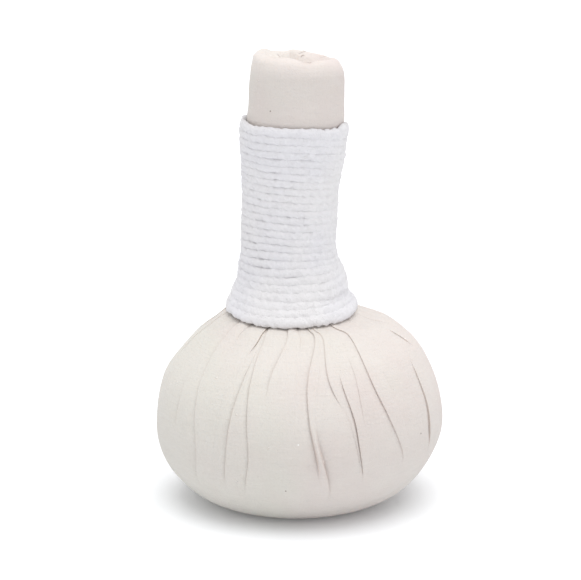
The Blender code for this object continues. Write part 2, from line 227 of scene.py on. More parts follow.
# Soft swells and hollows of the tucked top, as x, y, height and reach in mm.
TOP_SWELLS = (
    (1.2, 10.6, 0.7, 3.0),
    (8.5, 7.5, 0.4, 2.5),
    (-1.6, 9.6, 0.7, 1.4),
    (-11.4, 4.5, 0.9, 3.2),
    (-6.5, -4.0, -1.8, 2.8),
    (-8.5, -8.8, -0.5, 3.0),
    (-4.2, 4.2, 1.6, 1.9),
    (-1.8, 5.0, 2.8, 1.9),
    (0.8, 4.8, 1.9, 2.0),
    (3.8, 5.6, 1.4, 2.2),
    (2.4, -5.6, -3.4, 1.9),
    (2.6, -10.4, -1.2, 2.8),
    (-3.2, -5.4, -1.8, 1.3),
    (12.6, -2.0, 0.6, 2.0),
    (8.0, 6.0, -0.5, 4.0),
)
# How far the rim stands out towards its upright left corner, and the heights and radii over which
# that begins.
CORNER_AZIMUTH = -82.0
CORNER_REACH = 0.9 * MM
CORNER_HEIGHTS = (145.5 * MM, 148.5 * MM)
CORNER_RADII = (7 * MM, 11 * MM)
# The heights from which the wrap shows above the binding, those from which the swells count, and how
# far past the top of the rim the cloth is taken as tucked.
SHOWN_HEIGHTS = (126 * MM, 131 * MM)
SWELL_HEIGHTS = (140 * MM, 146 * MM)
TUCKED = (-4 * MM, 3 * MM)

# Painted light and shade on the cloth and the cord, by height. The bag and the wrap are darker low down
# and lighter high up, towards the light overhead. The cord is lighter on the collar, whose turns face
# up. Each runs between two heights in mm, from one share of the colour to another.
BAG_PAINTED_LIGHT = (26, 56, 0.92, 1.04)
WRAP_PAINTED_LIGHT = (142.5, 148.5, 0.94, 1.12)
CORD_PAINTED_LIGHT = (70, 79, 1.05, 0.99)

# Single specks on the bag and the wrap: their radius, and the azimuth, radius and height in mm of each.
SPECK_RADIUS = 0.32 * MM
HUSK_SPECKS = ((-4.6, 44.5, 16.5), (54.8, 48.0, 29.7))
PALE_SPECKS = ((-0.6, 48.0, 32.5),)
WRAP_SPECKS = ((-31.5, 16.0, 132.5),)

# The handle's rolled core and the folded corners beside it: the height where both start, and the
# height where each ends with the radii of its inside and its outside.
CORE_FOOT = 80.3 * MM
CORE_TOP = 140.3 * MM
CORE_RADII = (1.5 * MM, 5.9 * MM)
FOLD_TOP = 138.8 * MM
FOLD_RADII = (7.7 * MM, 9.2 * MM)
FOLD_SWEEP = math.radians(158)
# Their meshes: points for each turn of the roll, on each leaf of a fold and round its bend, and the
# steps between their rows.
ROLL_POINTS = 40
LEAF_POINTS = 44
BEND_POINTS = 7
CORE_STEPS = (2.5 * MM, 2.0 * MM)
# The thickness of the roll's tight layers against the wrap's cloth, and how far a fold wavers.
TIGHT_SHARE = 0.8
FOLD_WOBBLE = 0.12 * MM
# The bunch of cloth in the neck, as (radius, height) in mm. Then its flutes: how many they are, their
# ends, depths and fades in mm, how many degrees each slants, how the cloth between them swells, and
# the mesh's step and columns.
NECK_OUTLINE = (
    (8.6, 62.8), (9.7, 63.4), (10.0, 66.0), (10.0, 68.2), (9.4, 71.6), (9.9, 75.0), (9.9, 78.2),
    (8.8, 79.3),
)
NECK_GATHERS = 13
GATHER_ENDS = (60, 82)
GATHER_DEPTHS = (0.7, 0.9, 0.7)
GATHER_FADES = (1.0, 1.0)
GATHER_SLANT = 6
GATHER_PUFF = 0.2
NECK_STEP = 0.7 * MM
COLUMNS_PER_GATHER = 12

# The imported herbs: how far they stay inside the cloth's outer face, how high they reach, and the
# radius and floor of the well that the coarse herbs lie in.
HERB_INSET = 2.3 * MM
HERB_TOP = 60.6 * MM
HERB_WELL = (17.3 * MM, 12.7 * MM)
# Their mesh: the radius of the small opening that each pole closes, the step between rows, the
# columns round it, and the radius at which a turn of the UV map is measured.
HERB_POLE = 2 * MM
HERB_STEP = 1.3 * MM
HERB_COLUMNS = 150
HERB_GIRTH = 2 * math.pi * 48 * MM
# Dried herbs, chopped and coarse: their three colours, the noise scale and relief of their wrinkles,
# and how their grain is stretched. The coarse ones first say how their nodes' names start.
CHOPPED_HERB = (
    "chopped_herb", ((0.27, 0.24, 0.09), (0.44, 0.31, 0.12), (0.14, 0.17, 0.06)), 340, 0.0008,
)
COARSE_HERBS = (
    ("lemongrass", "lemongrass_straw", ((0.60, 0.55, 0.30), (0.50, 0.50, 0.24), (0.72, 0.66, 0.42)),
     1600, 0.0003, (1, 1, 0.06)),
    ("lime", "dried_lime_peel", ((0.17, 0.20, 0.07), (0.24, 0.22, 0.09), (0.10, 0.13, 0.05)),
     900, 0.0005, (1, 1, 1)),
    ("turmeric", "turmeric", ((0.72, 0.36, 0.05), (0.80, 0.45, 0.08), (0.50, 0.24, 0.05)),
     700, 0.0004, (1, 1, 1)),
    ("ginger", "cassumunar_ginger", ((0.66, 0.52, 0.24), (0.74, 0.62, 0.32), (0.48, 0.36, 0.17)),
     700, 0.0004, (1, 1, 1)),
    ("camphor", "camphor", ((0.90, 0.91, 0.90), (0.84, 0.86, 0.86), (0.96, 0.96, 0.95)),
     1400, 0.0003, (1, 1, 1)),
)

# The string that closes the neck: its radius, its lowest height, the azimuth where it starts, and how
# much of its last turn it stops short of.
TIE_RADIUS = 11.6 * MM
TIE_BOTTOM = 70.0 * MM
TIE_START = 200
TIE_SHORT = 0.05

# Shades in the calico: the shadow in a groove, seed flecks, and the single specks of husk and of
# white fibre. Then the floor's near white and the plain white of the light.
GROOVE_SHADE = (0.48, 0.34, 0.28)
SEED_SHADE = (0.13, 0.09, 0.07)
HUSK_SHADE = (0.16, 0.12, 0.10)
FIBRE_SHADE = (0.95, 0.94, 0.93)
FLOOR_SHADE = (0.95, 0.965, 0.985)
WHITE = (1.0, 1.0, 1.0)
# The floor's side in metres, and the camera's sensor in mm.
FLOOR_SIZE = 30
SENSOR_WIDTH = 36.0
# The lights: how wide in degrees both soft ones are, and where each one comes from.
LIGHT_SPREAD = 60
KEY_PLACE = (0.04, -0.08, 1.0)
FILL_PLACE = (0.6, -0.9, 0.35)


def eased(stations, height):
    """A smooth curve through (height mm, value) stations, level past both ends."""
    heights, values = np.array(stations, float).T
    z = np.clip(height, heights[0], heights[-1])
    leg = np.clip(np.searchsorted(heights, z, side="right") - 1, 0, len(heights) - 2)
    t = (z - heights[leg]) / (heights[leg + 1] - heights[leg])
    return values[leg] + (values[leg + 1] - values[leg]) * t * t * (3 - 2 * t)


def curved(stations, place):
    """A smooth curve through (place, value) stations with no flat spots, level past both ends."""
    places, values = np.array(stations, float).T
    slopes = np.gradient(values, places)
    slopes[[0, -1]] *= 0.5
    at = np.clip(place, places[0], places[-1])
    leg = np.clip(np.searchsorted(places, at, side="right") - 1, 0, len(places) - 2)
    span = places[leg + 1] - places[leg]
    t = (at - places[leg]) / span
    start = (1 + 2 * t) * (1 - t) ** 2 * values[leg] + t * (1 - t) ** 2 * span * slopes[leg]
    end = t * t * (3 - 2 * t) * values[leg + 1] + t * t * (t - 1) * span * slopes[leg + 1]
    return start + end


def faded(value, low, high):
    """0 below low, 1 above high, smooth between."""
    t = np.clip((value - low) / (high - low), 0, 1)
    return t * t * (3 - 2 * t)


def settled(points):
    """Where hand tying leaves the points of the upright object."""
    x, y, z = np.moveaxis(points, -1, 0)
    height = z / MM
    reach = eased(SLOPE_REACH, np.hypot(x, y) / MM)
    rise = eased(SLOPE_X, height) * x + eased(SLOPE_Y, height) * y * reach
    return np.stack((x + eased(SHIFT_X, height) * MM, y, z + rise), axis=-1)


def unit(vectors):
    """The vectors at length 1."""
    return vectors / np.linalg.norm(vectors, axis=-1)[..., None]


def distance_run(line):
    """How far along a line of points each of them lies."""
    return np.concatenate(([0.0], np.cumsum(np.linalg.norm(np.diff(line, axis=0), axis=1))))


def bell(value, middle, reach):
    """1 at the middle, and smoothly down to nothing past its reach on both sides."""
    return np.exp(-(((value - middle) / reach) ** 2))


def from_polar(azimuth, radius, height):
    """Points at an azimuth in degrees from the front, a radius and a height."""
    turn = np.radians(azimuth)
    return np.stack((radius * np.sin(turn), -radius * np.cos(turn), height), axis=-1)


def resampled(line, step):
    """Points of an (n, 2) line set step apart along it, with the distance run at each."""
    run = distance_run(line)
    count = max(2, round(run[-1] / step))
    places = np.linspace(0, run[-1], count + 1)
    return np.stack([np.interp(places, run, line[:, i]) for i in (0, 1)], axis=-1), places


def lumps(points, size, seed):
    """Soft noise between -1 and 1 at each point, with bumps about size across."""
    shift = Vector((seed * 7.3, seed * 3.1, seed * 5.7))
    flat = points.reshape(-1, 3) / size
    return np.array([noise.noise(Vector(p) + shift) for p in flat]).reshape(points.shape[:-1])


def finish_piece(name, mesh, material, nodes):
    """Puts a finished mesh in the scene as a piece that rides the body and stands for CAD nodes."""
    obj = bpy.data.objects.new(name, mesh)
    bpy.context.scene.collection.objects.link(obj)
    mesh.shade_smooth()
    mesh.materials.append(material)
    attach(obj, "root")
    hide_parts(*nodes)
    return obj


def quad_corners(grid):
    """The corners of each quad between the rows and columns of a grid, anticlockwise."""
    return np.stack((grid[:-1, :-1], grid[:-1, 1:], grid[1:, 1:], grid[1:, :-1]), axis=2)


def uv_mapped_mesh(name, vertices, faces, corner_uvs):
    """A mesh with a UV map, from the UVs of each face's corners in turn."""
    mesh = bpy.data.meshes.new(name)
    mesh.from_pydata(vertices.tolist(), [], faces)
    layer = mesh.uv_layers.new(name="UVMap")
    layer.uv.foreach_set("vector", corner_uvs.ravel().astype(np.float32))
    mesh.update()
    return mesh


def lathe_mesh(name, points, uvs, low_pole=None, high_pole=None, groove=None):
    """A mesh of quads over rows of points that go round Z anticlockwise seen from above, rows going
    up the outside. A pole closes an end with a fan. uvs has one more column than points. groove is
    kept as an attribute of the points."""
    rows, columns = points.shape[:2]
    index = np.arange(rows * columns).reshape(rows, columns)
    right = np.roll(index, -1, axis=1)
    quads = quad_corners(np.concatenate((index, index[:, :1]), axis=1)).reshape(-1, 4)
    corner_uvs = quad_corners(uvs).reshape(-1, 2)
    vertices = points.reshape(-1, 3)
    faces = quads.tolist()
    for pole, row, outwards in ((low_pole, 0, False), (high_pole, rows - 1, True)):
        if pole is None:
            continue
        tip = len(vertices)
        vertices = np.vstack((vertices, pole))
        pair = (index[row], right[row]) if outwards else (right[row], index[row])
        faces += [(int(a), int(b), tip) for a, b in zip(*pair)]
        middle = (uvs[row, :-1] + uvs[row, 1:]) / 2
        sides = (uvs[row, :-1], uvs[row, 1:]) if outwards else (uvs[row, 1:], uvs[row, :-1])
        corner_uvs = np.vstack((corner_uvs, np.stack((*sides, middle), axis=1).reshape(-1, 2)))
    mesh = uv_mapped_mesh(name, vertices, faces, corner_uvs)
    if groove is not None:
        depth = np.zeros(len(vertices), np.float32)
        depth[: groove.size] = groove.ravel()
        mesh.attributes.new("groove", "FLOAT", "POINT").data.foreach_set("value", depth)
    return mesh


class Nodes:
    """Shorthand for wiring one material's nodes."""

    def __init__(self, name):
        self.material = bpy.data.materials.new(name)
        self.material.use_nodes = True
        self.tree = self.material.node_tree
        self.shader = self.tree.nodes["Principled BSDF"]

    def feed(self, socket, source):
        """Links another node's output to a socket, or sets the socket's plain value."""
        if isinstance(source, bpy.types.NodeSocket):
            self.tree.links.new(source, socket)
        else:
            socket.default_value = source

    def add(self, kind, inputs=(), **settings):
        """A new node of a kind, with these inputs and settings."""
        node = self.tree.nodes.new("ShaderNode" + kind)
        for key, value in settings.items():
            setattr(node, key, value)
        for name, source in dict(inputs).items():
            self.feed(node.inputs[name], source)
        return node

    def math(self, operation, a, b=0.0, clamp=False):
        return self.add("Math", {0: a, 1: b}, operation=operation, use_clamp=clamp).outputs[0]

    def scaled(self, vector, scale):
        return self.add("VectorMath", {0: vector, 1: scale}, operation="MULTIPLY").outputs[0]

    def added(self, a, b):
        return self.add("VectorMath", {0: a, 1: b}, operation="ADD").outputs[0]

    def noise(self, vector, scale=1.0, detail=2.0, roughness=0.5):
        inputs = {"Vector": vector, "Scale": scale, "Detail": detail, "Roughness": roughness}
        return self.add("TexNoise", inputs).outputs["Fac"]

    def ranged(self, value, low, high, to_low=0.0, to_high=1.0):
        """The value's place between low and high, as a number between to_low and to_high."""
        inputs = {"Value": value, "From Min": low, "From Max": high}
        inputs.update({"To Min": to_low, "To Max": to_high})
        return self.add("MapRange", inputs).outputs["Result"]

    def mixed(self, factor, a, b):
        """The colour a where the factor is 0, and b where it is 1."""
        return self.add("Mix", {0: factor, 6: a, 7: b}, data_type="RGBA").outputs[2]

    def parts(self, vector):
        """The X, Y and Z of a vector."""
        return self.add("SeparateXYZ", {0: vector}).outputs

    def flecks(self, vector, per_metre, share, size):
        """1 on scattered round flecks: in a share of the cells, of a radius in cells."""
        cells = self.add("TexVoronoi", {"Vector": vector, "Scale": per_metre}, voronoi_dimensions="3D")
        lot = self.add("SeparateColor", {0: cells.outputs["Color"]}).outputs[0]
        chosen = self.math("LESS_THAN", lot, share)
        near = self.ranged(cells.outputs["Distance"], size, size * 0.5)
        return self.math("MULTIPLY", chosen, near)

    def with_painted_light(self, paint, painted_light):
        """Paints light and shade: scales the paint from one share of itself to another between two
        heights of the object.
        """
        low, high, share_low, share_high = painted_light
        height = self.parts(self.add("TexCoord").outputs["Object"])[2]
        share = self.ranged(height, low * MM, high * MM, share_low, share_high)
        return self.add("VectorMath", {0: paint, "Scale": share}, operation="SCALE").outputs[0]

    def bumped(self, height, distance, strength=1.0, onto=None):
        inputs = {"Height": height, "Distance": distance, "Strength": strength}
        if onto is not None:
            inputs["Normal"] = onto
        return self.add("Bump", inputs).outputs["Normal"]

    def finish(self, colour, roughness, normal=None, **sockets):
        """Wires the shader, whose other sockets are named with _ for each space."""
        sockets.update(Base_Color=colour, Roughness=roughness)
        if normal is not None:
            sockets["Normal"] = normal
        for name, source in sockets.items():
            self.feed(self.shader.inputs[name.replace("_", " ")], source)
        return self.material


def rgba(colour, share=1.0):
    """A share of a colour, opaque."""
    return (colour[0] * share, colour[1] * share, colour[2] * share, 1.0)


def calico_material(name, colour, thread, painted_light, husks=(), fibres=()):
    """Unbleached plain weave: threads and slubs along the UV map, seed flecks and soft mottling.
    Its fourth argument is the light and shade painted by height, as (low mm, high mm, share at low,
    share at high), and husks and fibres are the points where single specks of husk and of white fibre
    lie. The scale of a noise is how many of its bumps lie in a metre."""
    nodes = Nodes(name)
    place = nodes.add("TexCoord").outputs
    here = place["Object"]
    # Threads that cross, each wandering a little off its line.
    threads = place["UV"]
    wander = nodes.noise(nodes.scaled(threads, (90, 90, 0)), detail=1.0)
    threads = nodes.added(threads, nodes.scaled(wander, (0.0004, 0.0006, 0)))
    split = nodes.parts(threads)
    turn = 2 * math.pi / thread
    warp = nodes.math("SINE", nodes.math("MULTIPLY", split[0], turn))
    weft = nodes.math("SINE", nodes.math("MULTIPLY", split[1], turn))
    weave = nodes.math("MULTIPLY", warp, weft)
    # Thick and thin places along the threads, most of them in the weft.
    weft_slubs = nodes.noise(nodes.scaled(threads, (110, 1250, 0)), detail=2.0, roughness=0.6)
    warp_slubs = nodes.noise(nodes.scaled(threads, (1500, 80, 0)), detail=1.0)
    slubs = nodes.math(
        "ADD", nodes.math("MULTIPLY", weft_slubs, 0.75), nodes.math("MULTIPLY", warp_slubs, 0.25),
    )
    # Mottling, a warmth that grows towards +X, and the fine grain of the thread.
    mottle = nodes.noise(here, scale=38.0, detail=3.0, roughness=0.55)
    warmth = nodes.noise(here, scale=30.0, detail=2.0)
    across = nodes.parts(here)[0]
    warmth = nodes.math("ADD", warmth, nodes.math("ADD", nodes.math("MULTIPLY", across, 6.0), 0.03))
    grain = nodes.noise(here, scale=1500.0, detail=2.0, roughness=0.7)
    groove = nodes.add("Attribute", attribute_name="groove").outputs["Fac"]
    pale = (colour[0] * 1.035, colour[1] * 1.04, colour[2] * 1.045)
    cream = (colour[0] * 0.99, colour[1] * 1.005, colour[2] * 0.985)
    rosy = (colour[0] * 0.995, colour[1] * 0.945, colour[2] * 0.955)
    paint = nodes.mixed(nodes.ranged(warmth, 0.36, 0.62), rgba(cream), rgba(rosy))
    paint = nodes.mixed(nodes.ranged(mottle, 0.35, 0.7, 0.0, 0.7), paint, rgba(pale))
    paint = nodes.mixed(nodes.ranged(slubs, 0.44, 0.30, 0.0, 0.28), paint, rgba(colour, 0.86))
    paint = nodes.mixed(nodes.ranged(slubs, 0.58, 0.74, 0.0, 0.42), paint, rgba(pale, 1.1))
    paint = nodes.mixed(nodes.math("MULTIPLY", groove, 0.38, clamp=True), paint, rgba(GROOVE_SHADE))
    # Knots of pale fibre and dark seed flecks at random, then the single specks.
    neps = nodes.flecks(here, 300.0, 0.05, 0.14)
    seeds = nodes.flecks(here, 170.0, 0.012, 0.10)
    paint = nodes.mixed(nodes.math("MULTIPLY", neps, 0.5), paint, rgba(pale, 1.25))
    paint = nodes.mixed(nodes.math("MULTIPLY", seeds, 0.85), paint, rgba(SEED_SHADE))
    for spots, shade in ((husks, HUSK_SHADE), (fibres, FIBRE_SHADE)):
        for spot in spots:
            away = nodes.add("VectorMath", {0: here, 1: tuple(spot)}, operation="DISTANCE")
            near = nodes.ranged(away.outputs["Value"], SPECK_RADIUS, SPECK_RADIUS * 0.6, 0.0, 0.8)
            paint = nodes.mixed(near, paint, rgba(shade))
    paint = nodes.mixed(nodes.ranged(grain, 0.52, 0.70, 0.0, 0.25), paint, rgba(colour, 0.86))
    # Painted light and shade by height: darker low down and lighter high up.
    paint = nodes.with_painted_light(paint, painted_light)
    normal = nodes.bumped(weave, 0.000015, 0.7)
    normal = nodes.bumped(slubs, 0.00020, 1.0, onto=normal)
    normal = nodes.bumped(grain, 0.00016, 1.0, onto=normal)
    normal = nodes.bumped(neps, 0.0002, 0.8, onto=normal)
    rough = nodes.ranged(mottle, 0.3, 0.7, 0.90, 0.99)
    return nodes.finish(
        paint, rough, normal, Specular_IOR_Level=0.1, Sheen_Weight=0.1, Sheen_Roughness=0.5,
        Subsurface_Weight=0.08, Subsurface_Scale=0.002, Subsurface_Radius=(1.0, 0.8, 0.65),
    )


def cotton_material(name, colour, painted_light):
    """Soft twisted cotton: fibres that spiral round the UV map's length, and a fuzzy skin."""
    nodes = Nodes(name)
    place = nodes.add("TexCoord").outputs
    split = nodes.parts(place["UV"])
    spiral = nodes.math(
        "ADD", nodes.math("MULTIPLY", split[0], 190.0), nodes.math("MULTIPLY", split[1], 3.0),
    )
    along = nodes.math("MULTIPLY", split[0], 160.0)
    fibre_place = nodes.add("CombineXYZ", {0: along, 1: nodes.math("MULTIPLY", spiral, 5.0)})
    fibres = nodes.noise(fibre_place.outputs[0], detail=3.0, roughness=0.6)
    fuzz = nodes.noise(place["Object"], scale=2600.0, detail=2.0, roughness=0.7)
    tufts = nodes.noise(place["Object"], scale=520.0, detail=3.0, roughness=0.6)
    tint = nodes.noise(place["Object"], scale=40.0, detail=2.0)
    cool = (colour[0] * 0.975, colour[1] * 0.98, colour[2] * 1.005)
    paint = nodes.mixed(nodes.ranged(tint, 0.4, 0.6), rgba(colour), rgba(cool))
    # Painted shade in the low places of the tufts' relief.
    paint = nodes.mixed(nodes.ranged(tufts, 0.5, 0.28, 0.0, 0.35), paint, rgba(colour, 0.82))
    # Painted light by height: the cord is lighter on the collar, whose turns face up.
    paint = nodes.with_painted_light(paint, painted_light)
    normal = nodes.bumped(fibres, 0.00012, 0.6)
    normal = nodes.bumped(tufts, 0.0007, 1.0, onto=normal)
    normal = nodes.bumped(fuzz, 0.0003, 0.9, onto=normal)
    rough = nodes.ranged(fuzz, 0.3, 0.7, 0.9, 1.0)
    return nodes.finish(
        paint, rough, normal, Specular_IOR_Level=0.05, Sheen_Weight=0.3, Sheen_Roughness=0.6,
    )


def dried_material(name, colours, scale, relief, grain=(1, 1, 1)):
    """A dried plant: three shades mixed by noise that grain stretches, over a wrinkled relief."""
    nodes = Nodes(name)
    place = nodes.scaled(nodes.add("TexCoord").outputs["Object"], grain)
    broad = nodes.noise(place, scale=scale * 0.35, detail=3.0, roughness=0.6)
    fine = nodes.noise(place, scale=scale, detail=4.0, roughness=0.7)
    cells = nodes.add("TexVoronoi", {"Vector": place, "Scale": scale * 0.8}).outputs["Distance"]
    paint = nodes.mixed(nodes.ranged(broad, 0.38, 0.62), rgba(colours[0]), rgba(colours[1]))
    paint = nodes.mixed(nodes.ranged(fine, 0.52, 0.68, 0.0, 0.85), paint, rgba(colours[2]))
    normal = nodes.bumped(cells, relief, 0.7)
    normal = nodes.bumped(fine, relief, 0.9, onto=normal)
    rough = nodes.ranged(fine, 0.3, 0.7, 0.65, 0.98)
    return nodes.finish(
        paint, rough, normal, Specular_IOR_Level=0.25, Subsurface_Weight=0.05, Subsurface_Scale=0.001,
    )


class Fold:
    """One crease of a gathered or tucked cloth, along a path of (place mm, azimuth) points, from
    its first place to its last, with its depths in mm at even steps between, and its lip's side.
    fades are the lengths in mm over which it dies out at its low and high ends, and above its held
    place its depth stays as it is there."""

    def __init__(self, path, first, last, depths, side, fades, held=math.inf):
        self.path = tuple(sorted(path))
        self.first, self.last = min(first, last), max(first, last)
        self.side = side
        self.depths = depths if first < last else depths[::-1]
        self.fades = fades
        self.held = held

    def azimuth(self, place):
        return curved(self.path, place / MM)

    def depth(self, place):
        """The depth in metres at each place."""
        at = np.minimum(place, self.held * MM) / MM
        steps = np.linspace(self.first, self.last, len(self.depths))
        fade_in = faded(at, self.first, self.first + self.fades[0])
        fade_out = 1 - faded(at, self.last - self.fades[1], self.last)
        return curved(tuple(zip(steps, self.depths)), at) * MM * (fade_in * fade_out)


def pleat(row):
    """A fold of the bag, from a row of FRONT_PLEATS. Those that reach the neck run on up under the
    cord."""
    top, bottom, azimuths, depths, side = row
    path = tuple(zip(PLEAT_LEVELS, azimuths))
    foot_fade = min(PLEAT_FADE, LONGEST_FADE * (top - bottom))
    if top >= NECK_LEVEL:
        return Fold(path, top, bottom, depths, side, (foot_fade, NECK_FADE), HELD_LEVEL)
    return Fold(path, top, bottom, depths, side, (foot_fade, HEAD_FADE * foot_fade))


def all_pleats(shuffle):
    """The front's pleats, and the back's in the same rhythm: long ones, with some that stay short
    under the cord and some that lie on the belly only."""
    rows = list(FRONT_PLEATS)
    step = (BACK_SPAN[1] - BACK_SPAN[0]) / BACK_PLEATS
    for i in range(BACK_PLEATS):
        middle = BACK_SPAN[0] + (i + 0.5) * step + shuffle.uniform(-0.16, 0.16) * step
        drift = shuffle.uniform(-0.30, 0.30) * step
        bend = shuffle.uniform(-0.14, 0.14) * step
        azimuths = (middle + drift, middle + bend, middle, middle - drift * 0.2, middle - drift * 0.4)
        if i % 3 == 1:
            top, bottom, depths = NECK_LEVEL, shuffle.uniform(46, 57), (0.4, 0.35, 0.2)
        elif i % 4 == 3:
            top, bottom, depths = shuffle.uniform(48, 56), shuffle.uniform(18, 28), (0.3, 0.85, 0.4)
        else:
            top, bottom = NECK_LEVEL, shuffle.uniform(11, 26)
            depths = (0.5, shuffle.uniform(0.6, 0.9), 0.4)
        rows.append((top, bottom, azimuths, depths, shuffle.choice((-1, 1))))
    return [pleat(row) for row in rows]


def bag_outline():
    """The bag's upright outline from the middle of its base up and in at the neck, as (radius,
    height) rows, with the distance run at each."""
    lowest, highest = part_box("pouch_cloth")
    widest = (highest[0] - lowest[0]) / 2
    drop = np.sin(np.linspace(math.pi / 2, 0, CURVE_POINTS))
    belly = np.stack((
        BASE_RADIUS + (widest - BASE_RADIUS) * np.sqrt(np.clip(1 - drop**BELLY_POWER, 0, 1)),
        WIDEST_HEIGHT * (1 - drop),
    ), axis=-1)
    last = DOME_HEIGHT * (1 - (SHOULDER_RADIUS / widest) ** 2) ** (1 / DOME_POWER)
    rise = last * np.sin(np.linspace(0, math.pi / 2, CURVE_POINTS))
    dome = np.stack((
        widest * np.sqrt(1 - (rise / DOME_HEIGHT) ** DOME_POWER),
        WIDEST_HEIGHT + rise,
    ), axis=-1)
    base, ends = (np.array(rows) * MM for rows in (BASE_ROWS, SHOULDER_ENDS))
    return resampled(np.vstack((base, belly, dome[1:], ends)), ROW_STEP)


def pleated(outline, run, places, folds, columns, fullness):
    """The skin round an outline: points, UVs and how deep each point is in a crease. places are the
    rows' places on the paths of the folds. Columns follow the creases and crowd near them, so each
    one is a true lip that leans over a groove."""
    radius, height = (column[:, None] for column in outline.T)
    tracks = np.stack([fold.azimuth(places) for fold in folds], axis=1)
    depths = np.stack([fold.depth(places) for fold in folds], axis=1)
    sides = np.array([fold.side for fold in folds], float)
    along = unit(np.gradient(outline, axis=0))
    out_r, out_z = along[:, 1:2], -along[:, 0:1]
    next_tracks = np.concatenate((tracks[:, 1:], tracks[:, :1] + 360), axis=1)
    next_depths = np.roll(depths, -1, axis=1)
    share = (1 - np.cos(np.pi * np.arange(columns) / columns)) / 2
    azimuth = tracks[:, :, None] + (next_tracks - tracks)[:, :, None] * share
    gap = np.radians(next_tracks - tracks)[:, :, None] * radius[:, :, None]
    rise, lean, groove = (np.zeros_like(azimuth) for _ in range(3))
    for reach, depth, side in (
        (gap * share, depths, sides),
        (-gap * (1 - share), next_depths, np.roll(sides, -1)),
    ):
        past = reach * side[None, :, None] / MM
        depth = depth[:, :, None]
        lip = np.where(past <= 0, bell(past, 0, LIP_REACH[0]), bell(past, 0, LIP_REACH[1]))
        dip = faded(past, 0, DIP_REACH[0]) * np.exp(-np.maximum(past, 0) / DIP_REACH[1])
        rise += depth * (LIP_RISE * lip - DIP_RISE * dip)
        lean += depth * side[None, :, None] * (LIP_LEAN * lip - DIP_LEAN * dip)
        groove += depth / MM * bell(past, *GROOVE)
    puff = fullness * (depths + next_depths)[:, :, None] / 2
    rise += puff * np.sin(np.pi * share) ** 1.5
    azimuth, rise, lean, groove = (a.reshape(len(outline), -1) for a in (azimuth, rise, lean, groove))
    widest = outline[:, 0].max()
    visible = faded(radius / widest, *POLE_FADE)
    points = from_polar(
        azimuth + np.degrees(lean * visible / radius),
        radius + rise * out_r * visible,
        height + rise * out_z * visible,
    )
    around = np.radians(np.concatenate((azimuth, azimuth[:, :1] + 360), axis=1)) * widest
    uvs = np.stack((around, np.broadcast_to(run[:, None], around.shape)), axis=-1)
    return points, uvs, groove


def on_cloth(points, spot):
    """The settled point of an upright cloth that is nearest to an (azimuth, radius mm, height mm)."""
    azimuth, radius, height = spot
    target = from_polar(np.array(azimuth), radius * MM, height * MM)
    nearest = np.argmin(np.linalg.norm(points - target, axis=-1))
    return settled(points.reshape(-1, 3)[nearest])


class BagSettings(bpy.types.PropertyGroup):
    calico: FloatVectorProperty(
        name="Calico", description="Colour of the unbleached cloth", subtype="COLOR",
        default=(0.672, 0.638, 0.600), min=0, max=1,
    )
    thread: FloatProperty(
        name="Thread Spacing", description="Distance between neighbouring pairs of threads",
        default=0.0009, min=0.0003, max=0.003, unit="LENGTH", precision=5,
    )
    fullness: FloatProperty(
        name="Puff", description="How far the cloth swells between creases, against their depth",
        default=0.55, min=0, max=2,
    )
    lump: FloatProperty(
        name="Lumps", description="Height of the soft lumps that the herbs push up",
        default=0.00045, min=0, max=0.003, unit="LENGTH", precision=5,
    )
    seed: IntProperty(name="Seed", description="Which random pleats the back gets", default=4)


class CordSettings(bpy.types.PropertyGroup):
    diameter: FloatProperty(
        name="Diameter", description="Thickness of the binding cord, and the rise of each turn",
        default=0.00238, min=0.001, max=0.006, unit="LENGTH", precision=5,
    )
    plies: IntProperty(name="Plies", description="Strands twisted together", default=3, min=2, max=6)
    twist: FloatProperty(
        name="Twist", description="Length of cord in which a strand goes once round",
        default=0.0085, min=0.002, max=0.05, unit="LENGTH", precision=4,
    )
    ply_relief: FloatProperty(
        name="Strand Relief", description="How far strands stand proud, against the cord's radius",
        default=0.06, min=0, max=0.3,
    )
    tufts: FloatProperty(
        name="Tufts", description="How far the soft fibres stand out of the cord's surface",
        default=0.00046, min=0, max=0.001, unit="LENGTH", precision=5,
    )
    cotton: FloatVectorProperty(
        name="Cotton", description="Colour of the bleached cotton", subtype="COLOR",
        default=(0.765, 0.750, 0.760), min=0, max=1,
    )
    tie_diameter: FloatProperty(
        name="Neck Tie", description="Thickness of the string that closes the neck",
        default=0.0018, min=0.0008, max=0.004, unit="LENGTH", precision=5,
    )
    tie_turns: IntProperty(
        name="Tie Turns", description="Turns of string round the neck", default=3, min=1, max=6,
    )


class HandleSettings(bpy.types.PropertyGroup):
    cloth: FloatProperty(
        name="Cloth Thickness", description="Thickness of the folded cloth of the outer wrap",
        default=0.0008, min=0.0003, max=0.002, unit="LENGTH", precision=5,
    )
    colour: FloatVectorProperty(
        name="Calico", description="Colour of the cloth at the handle, more handled than the bag's",
        subtype="COLOR", default=(0.658, 0.612, 0.580), min=0, max=1,
    )
    roll_pitch: FloatProperty(
        name="Roll Pitch", description="Distance between the layers of the rolled core",
        default=0.00095, min=0.0005, max=0.003, unit="LENGTH", precision=5,
    )


